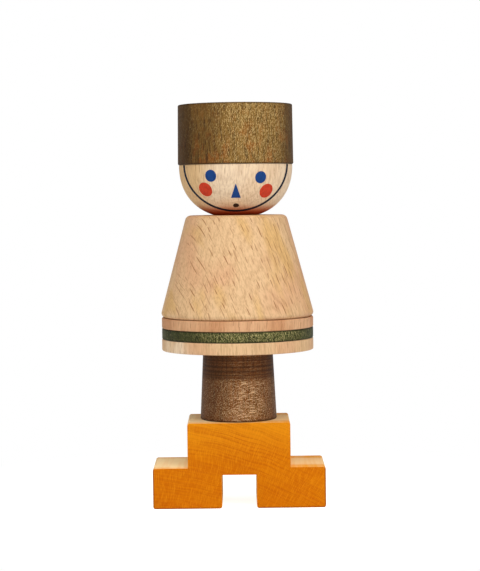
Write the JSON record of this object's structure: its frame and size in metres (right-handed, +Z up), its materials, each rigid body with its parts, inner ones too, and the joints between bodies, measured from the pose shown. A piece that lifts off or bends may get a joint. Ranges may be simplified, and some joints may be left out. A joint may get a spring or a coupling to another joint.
{
  "type": "stacking doll",
  "caption": "Wooden stacking doll of turned pieces threaded on a round stick that stands in a stepped feet block with an arch.",
  "frame": {"origin": "on the floor, under the middle of the stick and midway between the two shoes", "axes": "+Z up along the stick, +X across the shoes, and the face looks towards -Y"},
  "size_m": [0.07, 0.0624, 0.1635],
  "materials": {
    "natural_beech": "sanded, clear waxed",
    "orange_stained_beech": "sanded, orange stain",
    "brown_stained_beech": "sanded, dark brown stain",
    "green_stained_beech": "sanded, dark green stain",
    "olive_brown_stained_beech": "sanded, olive brown stain",
    "blue_paint": "matt printed paint",
    "red_paint": "matt printed paint",
    "dark_paint": "matt printed paint"
  },
  "bodies": {
    "base": {"feet": "orange_stained_beech", "stick": "natural_beech"},
    "leg": {"leg": "brown_stained_beech"},
    "lower_disc": {"skirt_lower_disc": "natural_beech"},
    "green_disc": {"skirt_green_disc": "green_stained_beech"},
    "upper_disc": {"skirt_upper_disc": "natural_beech"},
    "tunic": {"tunic": "natural_beech"},
    "head": {"head": "natural_beech"},
    "hat": {"hat": "olive_brown_stained_beech"}
  },
  "joints": [
    {"name": "leg_lift", "type": "slide", "parent": "base", "child": "leg", "axis": [0, 0, 1], "range_m": [0, 0.13]},
    {"name": "lower_disc_turn", "type": "hinge", "parent": "leg", "child": "lower_disc", "pos_m": [0, 0, 0.0657], "axis": [0, 0, 1], "continuous": true},
    {"name": "green_disc_lift", "type": "slide", "parent": "lower_disc", "child": "green_disc", "axis": [0, 0, 1], "range_m": [0, 0.095]},
    {"name": "upper_disc_turn", "type": "hinge", "parent": "green_disc", "child": "upper_disc", "pos_m": [0, 0, 0.07465], "axis": [0, 0, 1], "continuous": true},
    {"name": "tunic_lift", "type": "slide", "parent": "upper_disc", "child": "tunic", "axis": [0, 0, 1], "range_m": [0, 0.085]},
    {"name": "head_turn", "type": "hinge", "parent": "tunic", "child": "head", "pos_m": [0, 0, 0.1288], "axis": [0, 0, 1], "continuous": true},
    {"name": "hat_lift", "type": "slide", "parent": "head", "child": "hat", "axis": [0, 0, 1], "range_m": [0, 0.03]}
  ]
}
